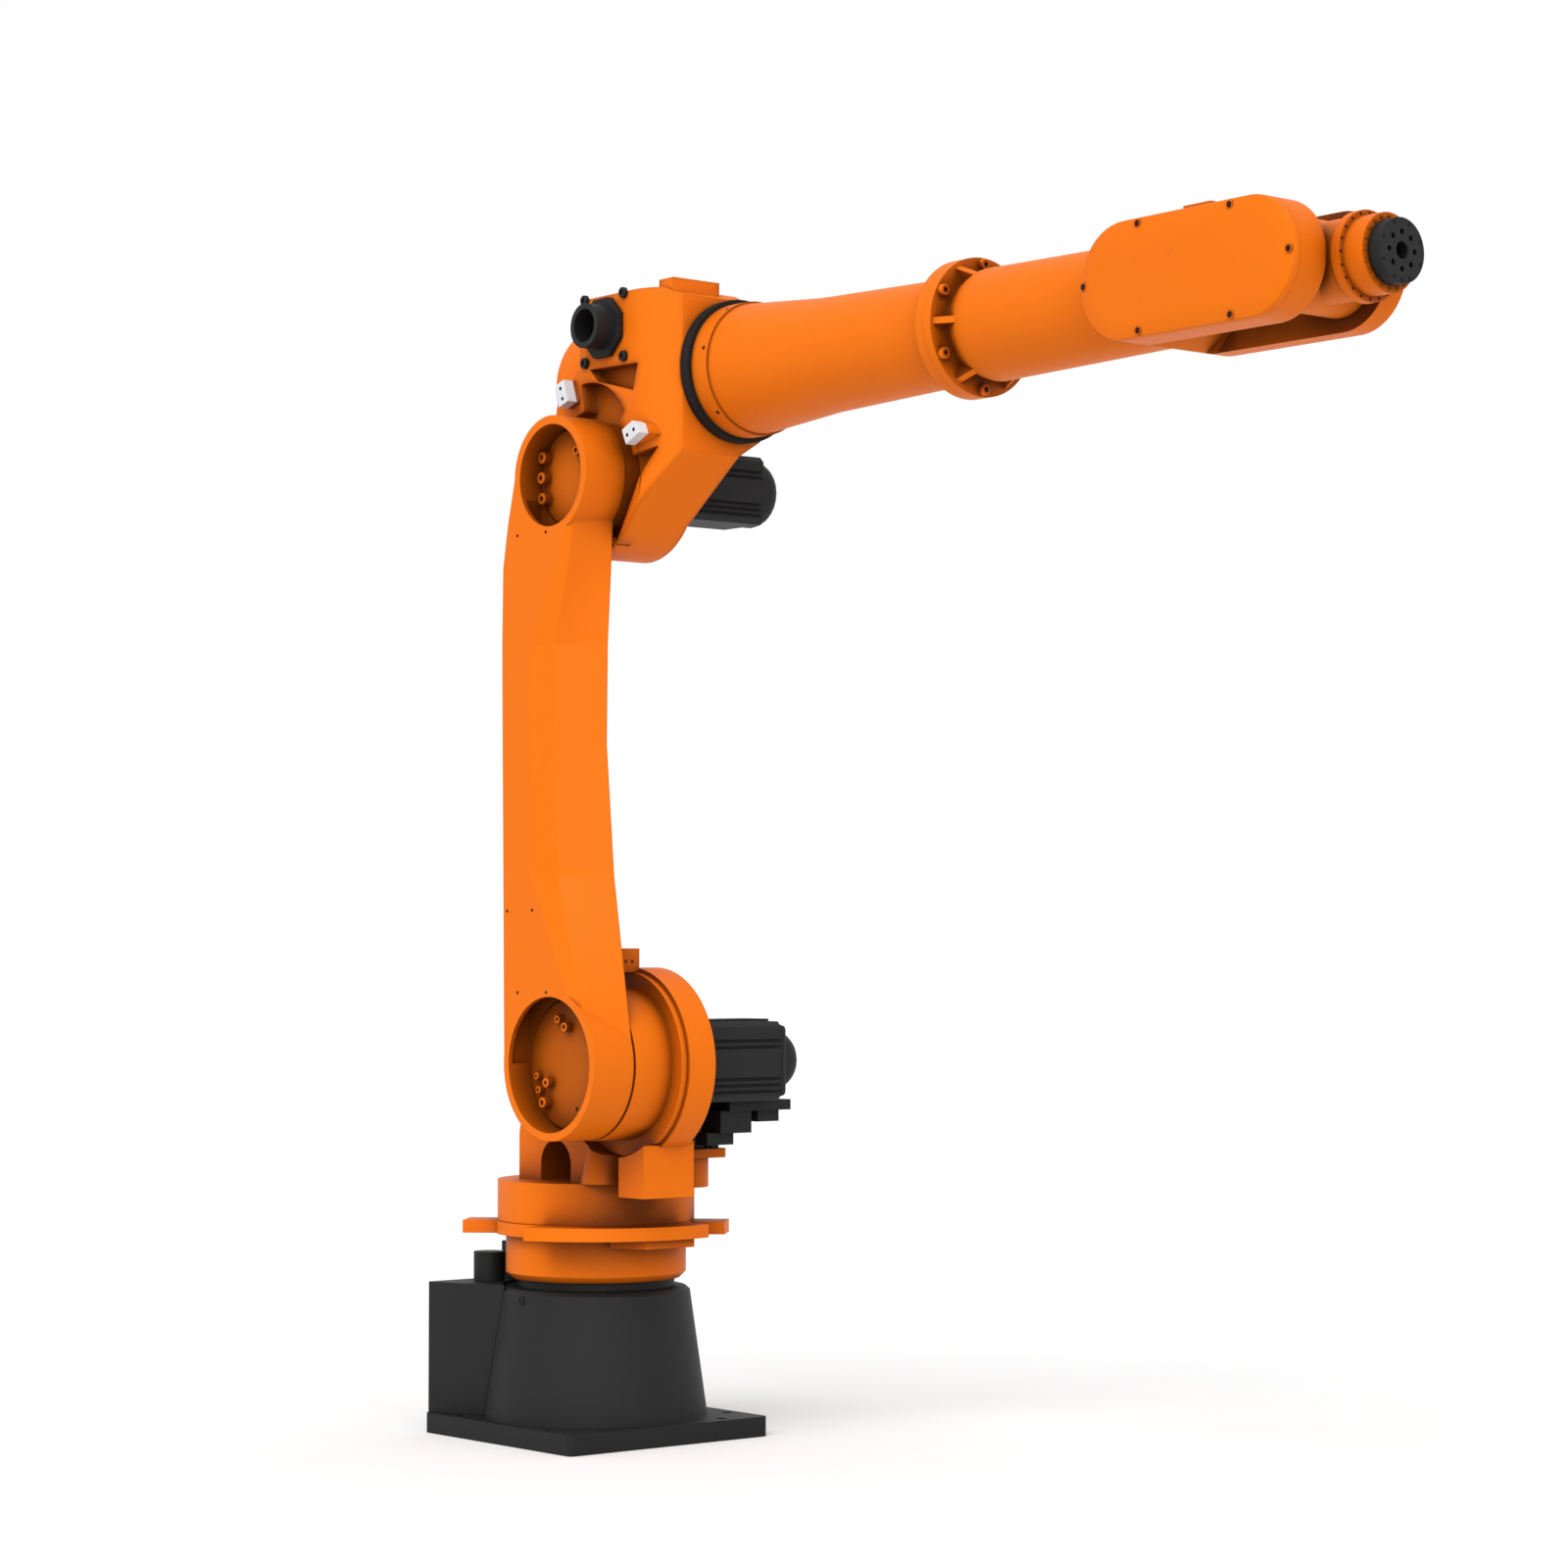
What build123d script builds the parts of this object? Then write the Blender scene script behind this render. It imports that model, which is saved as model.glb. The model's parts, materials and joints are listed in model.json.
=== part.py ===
from build123d import *
import os
from math import cos, radians, sin

os.makedirs("parts", exist_ok=True)

# Six-axis arm on a floor base, in millimetres.
# The origin is on the floor at the first axis, +X is forward along the forearm
# and +Z is up. The upper arm runs beside the turret, on its -Y side.

# Joint axes
shoulder_x = 180
shoulder_z = 618
upper_arm_length = 940
elbow_z = shoulder_z + upper_arm_length
forearm_rise = 165
forearm_z = elbow_z + forearm_rise
wrist_x = 1600
flange_reach = 160
flange_front_x = wrist_x + flange_reach

# Running gaps between moving pieces
bearing_gap = 0.3
side_gap = 3

# Base plate and pedestal
plate_width = 406
plate_thickness = 33
plate_corner = 10
plate_bolt_edge = 23
plate_bolt_offset = 122
plate_bolt_hole = 18
pedestal_foot_inset = 18
pedestal_foot_radius = plate_width / 2 - pedestal_foot_inset
pedestal_top_radius = 155
pedestal_top_z = 245
pedestal_edge = 6
neck_radius = 130

# Rear connector box of the base
box_front_x = -50
box_front_width = 276
box_top_z = 249
box_corner = 8
gland_radius = 26
gland_ring_gap = 11
gland_angle = 216
gland_top_z = 298
hood_width = 120
hood_inset = 13
hood_ring_gap = 1
hood_top_z = 311
hood_corner = 6

# Turret
ring_radius = 149
ring_bottom_z = 260
ring_edge = 10
lug_plate_z = 333
lug_plate_thickness = 21
lug_plate_radius = 165
lug_reach = 218
lug_width = 68
drum_radius = 163
drum_top_z = 422
stop_tab_drop = 15
stop_tab_reach = 199
stop_tab_depth = 55
stop_tab_tip_width = 100
stop_tab_root_width = 160
front_foot_z = 404
front_foot_x = 258
front_foot_length = 66
front_foot_near_y = -100
web_far_y = 2
web_top_z = 494
cone_boss_x = 124
cone_boss_y = -77
cone_boss_foot_radius = 39
cone_boss_top_radius = 26
cone_boss_top_z = 486
rear_wall_x = -79
rear_wall_far_y = 60
rear_wall_round = 60
rear_wall_straight = 70
rear_wall_slope_run = 60
rear_wall_slope_rise = 180
rear_wall_front_inset = 60
rear_wall_front_rise = 60
arch_radius = 41
arch_x = 23
arch_spring = 27
arch_depth = 70

# Shoulder reducer, coaxial with the second axis
disc_radius = 154
disc_near_y = -66
disc_far_y = -14
reducer_flange_radius = 148
reducer_flange_thickness = 12
reducer_room = 42
reducer_radius = 123
reducer_near_y = -150
shoulder_stop_offset = 7
shoulder_stop_width = 30
shoulder_stop_depth = 38
shoulder_stop_height = 185

# Motors
j2_motor_width = 130
j2_motor_rib = 4
j2_motor_end_y = 195
j2_motor_bell_end_y = 215
j2_motor_cap_radius = 44
j2_motor_cap_end_y = 260
j2_cap_edge = 12
j3_motor_width = 112
j3_motor_end_y = 165
j3_motor_cap_end_y = 208
j3_cap_edge = 16
j3_sensor_width = 40
j3_sensor_length = 34
j3_sensor_rise = 5
j1_motor_x = 50
j1_motor_y = 128
j1_motor_width = 110
j1_motor_top_z = 640
j1_flange_width = 130
j1_flange_z = 455
j1_flange_thickness = 15
j1_gear_radius = 55
j1_gear_bottom_z = 406
motor_edge = 12
motor_groove = 5

# Connectors under the shoulder motor: start and end along Y, drop below the motor, width
connector_blocks = (
    (115, 245, 0, 17, 60),
    (185, 230, 16, 36, 34),
    (100, 165, 16, 53, 50),
    (80, 135, 52, 72, 30),
)

# Upper arm
arm_near_y = -231
arm_back_y = reducer_near_y - side_gap
lower_hub_radius = 121
lower_recess_radius = 108
upper_hub_radius = 96
upper_recess_radius = 82
recess_depth = 50
hub_disc_thickness = 9
hub_disc_gap = 5
hub_boss_radius = 88
window_wall = 8
window_depth = 35
window_rear_x = 66
window_front_x = 198
lower_window_rise = 172
upper_window_drop = 140

# Elbow
elbow_near_y = -148
lobe_far_y = -32
elbow_lobe_radius = 128
elbow_barrel_radius = 117
elbow_barrel_rear_x = 30
elbow_barrel_front_x = 368
elbow_barrel_edge = 12
elbow_top_rise = 132
elbow_top_far_y = 20
elbow_top_step_x = 285
elbow_top_step = 5
elbow_slope_x = 320
elbow_slope_drop = 17
elbow_corner_x = 310
elbow_corner_y = -110
elbow_corner_round = 60
elbow_web_far_y = 60
block_rear_reach = 105
block_rear_rise = 70
block_neck_reach = 90
block_neck_drop = 20
throat_drop = 18
throat_angle = 36
web_bend_drop = 78
web_lean = 37
web_lean_rise = 30
web_barrel_y = 50
web_barrel_rise = 10
web_shoulder_rise = 60
top_pad_rear_x = 318
top_pad_front_x = 355
top_pad_near_y = -118
top_pad_far_y = -25
top_pad_rise = 143
elbow_recess_radius = 113
elbow_recess_depth = 28
crescent_radius = 115
crescent_rear_shift = 10
crescent_rise = 42
crescent_angles = (49, 100)
wedge_angles = (-60.5, 14.5)
wedge_reaches = (130, 160)
j3_reducer_radius = 92
motor_seat_gap = 0.5
seal_radius = 114.5
seal_thickness = 18
inlet_forward = 36
inlet_rise = 75
inlet_pad_width = 134
inlet_pad_height = 124
inlet_flange_radius = 51
inlet_flange_thickness = 10
inlet_tube_radius = 36
inlet_bore_radius = 27
inlet_end_y = -191
undercut_depth = 26
undercut_rear_inset = 26
undercut_length = 126
undercut_front_drop = 46
undercut_rear_drop = 22
undercut_slope = 3
undercut_draft = 11
stop_circle_radius = 149.5
stop_seat_y = -155
stop_near_y = -174
front_stop_angle = 24.2
rear_stop_angle = 108.8
stop_length = 38
stop_width = 26
stop_corner = 8

# Forearm
forearm_start_x = elbow_barrel_front_x + seal_thickness + bearing_gap
root_flange_radius = 107
root_flange_length = 38
rear_tube_root_radius = 103.5
rear_tube_waist_x = 600
rear_tube_waist_radius = 89.5
rear_tube_end_radius = 80
mid_flange_x = 912
mid_flange_radius = 104
mid_flange_thickness = 17
front_tube_start_radius = 84
front_tube_end_radius = 76
bolt_neck_radius = 73
bolt_neck_length = 32
fork_length = 237
fork_rear_x = wrist_x - fork_length
prong_radius = 83
near_prong_y = -112
near_cover_y = -125
near_cover_edge = 5
far_prong_y = 98
fork_inner_y = 62
fork_slot_depth = 195
fork_slot_x = wrist_x - fork_slot_depth
slot_floor_run = 70
gusset_count = 6
gusset_length = 46
gusset_thickness = 10
gusset_drop = 6

# Wrist
wrist_clearance = 5
wrist_radius = 64
wrist_neck_radius = 56
wrist_pin_radius = 44
wrist_flange_radius = 62
wrist_neck_reach = 90
wrist_flange_x = wrist_x + wrist_neck_reach
wrist_flange_thickness = 14
wrist_case_radius = 54
tool_flange_radius = 44
tool_flange_thickness = 20
tool_neck_radius = 38
tool_neck_length = 2
tool_bore_radius = 12
tool_bolt_radius = 25
tool_bolt_hole = 8
tool_bolt_count = 8


def side(y):
    """A plane facing -Y at the given Y, with local x along +X and local y along +Z."""
    return Plane.XZ.offset(-y)


def round_point(x, z, radius, angle):
    """The point at a radius and angle in degrees round a centre."""
    return (x + radius * cos(radians(angle)), z + radius * sin(radians(angle)))


# Base plate and tapered pedestal, one casting
bolt_row = plate_width / 2 - plate_bolt_edge
with BuildPart() as base_casting:
    with BuildSketch(Plane.XY):
        RectangleRounded(plate_width, plate_width, plate_corner)
        with Locations((bolt_row, -plate_bolt_offset), (bolt_row, plate_bolt_offset)):
            Circle(plate_bolt_hole / 2, mode=Mode.SUBTRACT)
        with GridLocations(2 * plate_bolt_offset, 2 * bolt_row, 2, 2):
            Circle(plate_bolt_hole / 2, mode=Mode.SUBTRACT)
    extrude(amount=plate_thickness)
    with BuildSketch(Plane.XY.offset(plate_thickness)):
        Circle(pedestal_foot_radius)
    with BuildSketch(Plane.XY.offset(pedestal_top_z)):
        Circle(pedestal_top_radius)
    loft()
    chamfer(base_casting.faces().sort_by(Axis.Z)[-1].edges(), pedestal_edge)

base_casting.part.label = "base_casting"
export_step(base_casting.part, "parts/base_casting.step")

# Fixed collar that the turret turns on
with BuildPart() as base_collar:
    with BuildSketch(Plane.XY.offset(pedestal_top_z)):
        Circle(neck_radius)
    extrude(amount=ring_bottom_z - bearing_gap - pedestal_top_z)

base_collar.part.label = "base_collar"
export_step(base_collar.part, "parts/base_collar.step")

# Connector box that widens to the rear corners of the plate, cut to the pedestal's taper
box_height = box_top_z - plate_thickness
with BuildPart() as connector_box:
    with BuildSketch(Plane.XY.offset(plate_thickness)):
        with BuildLine():
            Polyline(
                (-plate_width / 2, -plate_width / 2),
                (box_front_x, -box_front_width / 2),
                (box_front_x, box_front_width / 2),
                (-plate_width / 2, plate_width / 2),
                close=True,
            )
        make_face()
    extrude(amount=box_height)
    fillet(connector_box.edges().filter_by(Axis.Z).group_by(Axis.X)[0], box_corner)
    with BuildSketch(Plane.XY.offset(plate_thickness)):
        Circle(pedestal_foot_radius)
    with BuildSketch(Plane.XY.offset(pedestal_top_z)):
        Circle(pedestal_top_radius)
    loft(mode=Mode.SUBTRACT)
    with BuildSketch(Plane.XY.offset(pedestal_top_z)):
        Circle(pedestal_top_radius)
    extrude(amount=box_height, mode=Mode.SUBTRACT)

connector_box.part.label = "connector_box"
export_step(connector_box.part, "parts/connector_box.step")

# Round cable gland on the box, clear of the turret ring
gland_place = round_point(0, 0, ring_radius + gland_ring_gap + gland_radius, gland_angle)
with BuildPart() as cable_gland:
    with BuildSketch(Plane.XY.offset(box_top_z)):
        with Locations(gland_place):
            Circle(gland_radius)
    extrude(amount=gland_top_z - box_top_z)

cable_gland.part.label = "cable_gland"
export_step(cable_gland.part, "parts/cable_gland.step")

# Upright hood on the box, from the plate's rear edge to the turret ring
hood_rear_x = hood_inset - plate_width / 2
hood_front_x = -ring_radius - hood_ring_gap
with BuildPart() as rear_hood:
    with BuildSketch(Plane.XY.offset(box_top_z)):
        with Locations(((hood_rear_x + hood_front_x) / 2, 0)):
            Rectangle(hood_front_x - hood_rear_x, hood_width)
    extrude(amount=hood_top_z - box_top_z)
    chamfer(rear_hood.edges().filter_by(Axis.Z), hood_corner)

rear_hood.part.label = "rear_hood"
export_step(rear_hood.part, "parts/rear_hood.step")

# Lower ring of the turret, running on the collar
with BuildPart() as turret_ring:
    with BuildSketch(Plane.XY.offset(ring_bottom_z)):
        Circle(ring_radius)
    extrude(amount=lug_plate_z - ring_bottom_z)
    chamfer(turret_ring.faces().sort_by(Axis.Z)[0].edges(), ring_edge)

turret_ring.part.label = "turret_ring"
export_step(turret_ring.part, "parts/turret_ring.step")

# Round plate with four lifting lugs on the diagonals
with BuildPart() as lug_plate:
    with BuildSketch(Plane.XY.offset(lug_plate_z)):
        Circle(lug_plate_radius)
        Rectangle(2 * lug_reach, lug_width, rotation=45)
        Rectangle(2 * lug_reach, lug_width, rotation=-45)
    extrude(amount=lug_plate_thickness)

lug_plate.part.label = "lug_plate"
export_step(lug_plate.part, "parts/lug_plate.step")

# Stop tab under the lug plate, fitted round the ring
with BuildPart() as stop_tab:
    with BuildSketch(Plane.XY.offset(lug_plate_z)):
        with BuildLine():
            Polyline(
                (stop_tab_reach - stop_tab_depth, -stop_tab_root_width / 2),
                (stop_tab_reach, -stop_tab_tip_width / 2),
                (stop_tab_reach, stop_tab_tip_width / 2),
                (stop_tab_reach - stop_tab_depth, stop_tab_root_width / 2),
                close=True,
            )
        make_face()
        Circle(ring_radius, mode=Mode.SUBTRACT)
    extrude(amount=-stop_tab_drop)

stop_tab.part.label = "stop_tab"
export_step(stop_tab.part, "parts/stop_tab.step")

# Turret casting: drum, rear wall with its cable arch, front foot and shoulder disc
lug_plate_top_z = lug_plate_z + lug_plate_thickness
wall_front_x = shoulder_x - rear_wall_front_inset
wall_bend_z = drum_top_z + rear_wall_straight
wall_top_z = wall_bend_z + rear_wall_round
with BuildPart() as turret_casting:
    with BuildSketch(Plane.XY.offset(lug_plate_top_z)):
        Circle(drum_radius)
    extrude(amount=drum_top_z - lug_plate_top_z)
    # Rear wall, rising to the shoulder disc
    with BuildSketch(side(front_foot_near_y)):
        with BuildLine():
            Polyline(
                (rear_wall_x + rear_wall_round, wall_top_z),
                (wall_front_x - rear_wall_slope_run, drum_top_z + rear_wall_slope_rise),
                (wall_front_x, drum_top_z + rear_wall_front_rise),
                (wall_front_x, drum_top_z),
                (rear_wall_x, drum_top_z),
                (rear_wall_x, wall_bend_z),
            )
            RadiusArc(
                (rear_wall_x, wall_bend_z),
                (rear_wall_x + rear_wall_round, wall_top_z),
                rear_wall_round,
            )
        make_face()
    extrude(amount=front_foot_near_y - rear_wall_far_y)
    # Web and foot that carry the disc at the front
    with BuildSketch(side(disc_near_y)):
        with BuildLine():
            Polyline(
                (wall_front_x, drum_top_z),
                (front_foot_x, drum_top_z),
                (front_foot_x, web_top_z),
                (wall_front_x, web_top_z),
                close=True,
            )
        make_face()
    extrude(amount=disc_near_y - web_far_y)
    with BuildSketch(side(front_foot_near_y)):
        with Locations((front_foot_x - front_foot_length / 2, (front_foot_z + web_top_z) / 2)):
            Rectangle(front_foot_length, web_top_z - front_foot_z)
    extrude(amount=front_foot_near_y - web_far_y)
    # Tapered boss between the wall and the foot
    with BuildSketch(Plane.XY.offset(drum_top_z)):
        with Locations((cone_boss_x, cone_boss_y)):
            Circle(cone_boss_foot_radius)
    with BuildSketch(Plane.XY.offset(cone_boss_top_z)):
        with Locations((cone_boss_x, cone_boss_y)):
            Circle(cone_boss_top_radius)
    loft()
    # Disc behind the reducer
    with BuildSketch(side(disc_near_y)):
        with Locations((shoulder_x, shoulder_z)):
            Circle(disc_radius)
    extrude(amount=disc_near_y - disc_far_y)
    # Room for the reducer in front of the disc
    with BuildSketch(side(disc_near_y)):
        with Locations((shoulder_x, shoulder_z)):
            Circle(reducer_flange_radius + side_gap)
    extrude(amount=reducer_room, mode=Mode.SUBTRACT)
    # Cable arch in the rear wall
    with BuildSketch(side(front_foot_near_y)):
        with Locations((arch_x, drum_top_z + arch_spring)):
            Circle(arch_radius)
        with Locations((arch_x, drum_top_z + arch_spring / 2)):
            Rectangle(2 * arch_radius, arch_spring)
    extrude(amount=-arch_depth, mode=Mode.SUBTRACT)
    # Seat of the first axis gear on the left side of the drum
    with BuildSketch(Plane.XY.offset(j1_gear_bottom_z)):
        with Locations((j1_motor_x, j1_motor_y)):
            Circle(j1_gear_radius)
    extrude(amount=j1_motor_top_z - j1_gear_bottom_z, mode=Mode.SUBTRACT)

turret_casting.part.label = "turret_casting"
export_step(turret_casting.part, "parts/turret_casting.step")

# Shoulder reducer in front of the disc
with BuildPart() as j2_reducer:
    with BuildSketch(side(disc_near_y)):
        with Locations((shoulder_x, shoulder_z)):
            Circle(reducer_flange_radius)
    extrude(amount=reducer_flange_thickness)
    with BuildSketch(side(disc_near_y)):
        with Locations((shoulder_x, shoulder_z)):
            Circle(reducer_radius)
    extrude(amount=disc_near_y - reducer_near_y)

j2_reducer.part.label = "j2_reducer"
export_step(j2_reducer.part, "parts/j2_reducer.step")


def motor_profile(width, x, z):
    """Square motor section with bevelled corners and shallow grooves along its sides."""
    with Locations((x, z)):
        Rectangle(width, width)
        with GridLocations(width, width, 2, 2):
            Rectangle(motor_edge, motor_edge, rotation=45, mode=Mode.SUBTRACT)
        for height in (-0.38, -0.3, -0.22, 0.18, 0.26):
            with Locations((-width / 2, height * width), (width / 2, height * width)):
                Rectangle(2 * motor_groove, motor_groove, mode=Mode.SUBTRACT)


# Shoulder motor behind the disc, with a low rib along its top
with BuildPart() as j2_motor:
    with BuildSketch(side(disc_far_y)):
        motor_profile(j2_motor_width, shoulder_x, shoulder_z)
        with Locations((shoulder_x, shoulder_z + j2_motor_width / 2)):
            Rectangle(j2_motor_width / 2, 2 * j2_motor_rib)
    extrude(amount=disc_far_y - j2_motor_end_y)

j2_motor.part.label = "j2_motor"
export_step(j2_motor.part, "parts/j2_motor.step")

with BuildPart() as j2_motor_cap:
    with BuildSketch(side(j2_motor_end_y)):
        with Locations((shoulder_x, shoulder_z)):
            Rectangle(j2_motor_width - motor_edge, j2_motor_width - motor_edge)
    extrude(amount=j2_motor_end_y - j2_motor_bell_end_y)
    chamfer(j2_motor_cap.edges().filter_by(Axis.Y), motor_edge)
    with BuildSketch(side(j2_motor_bell_end_y)):
        with Locations((shoulder_x, shoulder_z)):
            Circle(j2_motor_cap_radius)
    extrude(amount=j2_motor_bell_end_y - j2_motor_cap_end_y)
    chamfer(j2_motor_cap.faces().sort_by(Axis.Y)[-1].edges(), j2_cap_edge)

j2_motor_cap.part.label = "j2_motor_cap"
export_step(j2_motor_cap.part, "parts/j2_motor_cap.step")

# Stepped connectors under the shoulder motor
motor_bottom_z = shoulder_z - j2_motor_width / 2
with BuildPart() as j2_connectors:
    for start_y, end_y, top_drop, bottom_drop, width in connector_blocks:
        with BuildSketch(Plane.XY.offset(motor_bottom_z - top_drop)):
            with Locations((shoulder_x, (start_y + end_y) / 2)):
                Rectangle(width, end_y - start_y)
        extrude(amount=top_drop - bottom_drop)

j2_connectors.part.label = "j2_connectors"
export_step(j2_connectors.part, "parts/j2_connectors.step")

# First axis gear, its flange and upright motor
with BuildPart() as j1_gear:
    with BuildSketch(Plane.XY.offset(j1_gear_bottom_z)):
        with Locations((j1_motor_x, j1_motor_y)):
            Circle(j1_gear_radius)
    extrude(amount=j1_flange_z - j1_gear_bottom_z)

j1_gear.part.label = "j1_gear"
export_step(j1_gear.part, "parts/j1_gear.step")

with BuildPart() as j1_motor_flange:
    with BuildSketch(Plane.XY.offset(j1_flange_z)):
        with Locations((j1_motor_x, j1_motor_y)):
            Rectangle(j1_flange_width, j1_flange_width)
    extrude(amount=j1_flange_thickness)
    chamfer(j1_motor_flange.edges().filter_by(Axis.Z), motor_edge)

j1_motor_flange.part.label = "j1_motor_flange"
export_step(j1_motor_flange.part, "parts/j1_motor_flange.step")

j1_motor_bottom_z = j1_flange_z + j1_flange_thickness
with BuildPart() as j1_motor:
    with BuildSketch(Plane.XY.offset(j1_motor_bottom_z)):
        motor_profile(j1_motor_width, j1_motor_x, j1_motor_y)
    extrude(amount=j1_motor_top_z - j1_motor_bottom_z)

j1_motor.part.label = "j1_motor"
export_step(j1_motor.part, "parts/j1_motor.step")

# Stop block on top of the shoulder reducer
with BuildPart() as shoulder_stop:
    with BuildSketch(side(disc_near_y)):
        with Locations((shoulder_x + shoulder_stop_offset, shoulder_z + disc_radius)):
            Rectangle(shoulder_stop_width, 2 * (shoulder_stop_height - disc_radius))
        with Locations((shoulder_x, shoulder_z)):
            Circle(reducer_flange_radius, mode=Mode.SUBTRACT)
    extrude(amount=shoulder_stop_depth)

shoulder_stop.part.label = "shoulder_stop"
export_step(shoulder_stop.part, "parts/shoulder_stop.step")


# Beam sections up the arm: height above the shoulder, the rear face, the end of the flat
# near side, the end of the shallow bevel with its depth, and the front edge at the back
arm_sections = (
    (0, 60, 288, 294, 3, 301),
    (300, 56, 132, 184, 14, 249),
    (510, 53, 126, 178, 14, 229),
    (670, 51, 126, 178, 14, 231),
    (800, 53, 200, 220, 8, 240),
    (870, 66, 230, 238, 4, 244),
    (upper_arm_length, 84, 262, 268, 3, 276),
)

# Upper arm: a bevelled beam between two hubs, with a bolt recess in each hub
with BuildPart() as upper_arm:
    for rise, rear_x, flat_x, bevel_x, bevel_depth, front_x in arm_sections:
        with BuildSketch(Plane.XY.offset(shoulder_z + rise)):
            with BuildLine():
                Polyline(
                    (rear_x, arm_back_y),
                    (rear_x, arm_near_y),
                    (flat_x, arm_near_y),
                    (bevel_x, arm_near_y + bevel_depth),
                    (front_x, arm_back_y),
                    close=True,
                )
            make_face()
    loft(ruled=True)
    with BuildSketch(side(arm_back_y)):
        with Locations((shoulder_x, shoulder_z)):
            Circle(lower_hub_radius)
        with Locations((shoulder_x, elbow_z)):
            Circle(upper_hub_radius)
    extrude(amount=arm_back_y - arm_near_y)
    with BuildSketch(side(arm_near_y)):
        with Locations((shoulder_x, shoulder_z)):
            Circle(lower_recess_radius)
        with Locations((shoulder_x, elbow_z)):
            Circle(upper_recess_radius)
    extrude(amount=-recess_depth, mode=Mode.SUBTRACT)
    # Hollow of the beam, open into both recesses
    with BuildSketch(side(arm_near_y + window_wall)):
        with BuildLine():
            Polyline(
                (window_rear_x, shoulder_z),
                (window_front_x, shoulder_z),
                (window_front_x, shoulder_z + lower_window_rise),
                (window_rear_x, shoulder_z + lower_window_rise),
                close=True,
            )
        make_face()
        with BuildLine():
            Polyline(
                (window_rear_x + recess_depth, elbow_z),
                (window_front_x, elbow_z),
                (window_front_x, elbow_z - upper_window_drop),
                (window_rear_x, elbow_z - upper_window_drop),
                close=True,
            )
        make_face()
    extrude(amount=-window_depth, mode=Mode.SUBTRACT)
    # Boss that runs on the shoulder reducer
    with BuildSketch(side(reducer_near_y - bearing_gap)):
        with Locations((shoulder_x, shoulder_z)):
            Circle(hub_boss_radius)
    extrude(amount=side_gap)

upper_arm.part.label = "upper_arm"
export_step(upper_arm.part, "parts/upper_arm.step")

# Bolted discs at the bottom of the two recesses
recess_floor_y = arm_near_y + recess_depth
with BuildPart() as lower_hub_disc:
    with BuildSketch(side(recess_floor_y)):
        with Locations((shoulder_x, shoulder_z)):
            Circle(lower_recess_radius - hub_disc_gap)
    extrude(amount=hub_disc_thickness)

lower_hub_disc.part.label = "lower_hub_disc"
export_step(lower_hub_disc.part, "parts/lower_hub_disc.step")

with BuildPart() as upper_hub_disc:
    with BuildSketch(side(recess_floor_y)):
        with Locations((shoulder_x, elbow_z)):
            Circle(upper_recess_radius - hub_disc_gap)
    extrude(amount=hub_disc_thickness)

upper_hub_disc.part.label = "upper_hub_disc"
export_step(upper_hub_disc.part, "parts/upper_hub_disc.step")


def stop_section(angle):
    """Section of a travel stop at its angle round the third axis, with one outer corner cut."""
    centre = round_point(shoulder_x, elbow_z, stop_circle_radius, angle)
    with Locations(Location(centre, angle)):
        Polygon(
            (-stop_length / 2, -stop_width / 2),
            (stop_length / 2, -stop_width / 2),
            (stop_length / 2, stop_width / 2 - stop_corner),
            (stop_length / 2 - stop_corner, stop_width / 2),
            (-stop_length / 2, stop_width / 2),
            align=None,
        )


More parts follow.
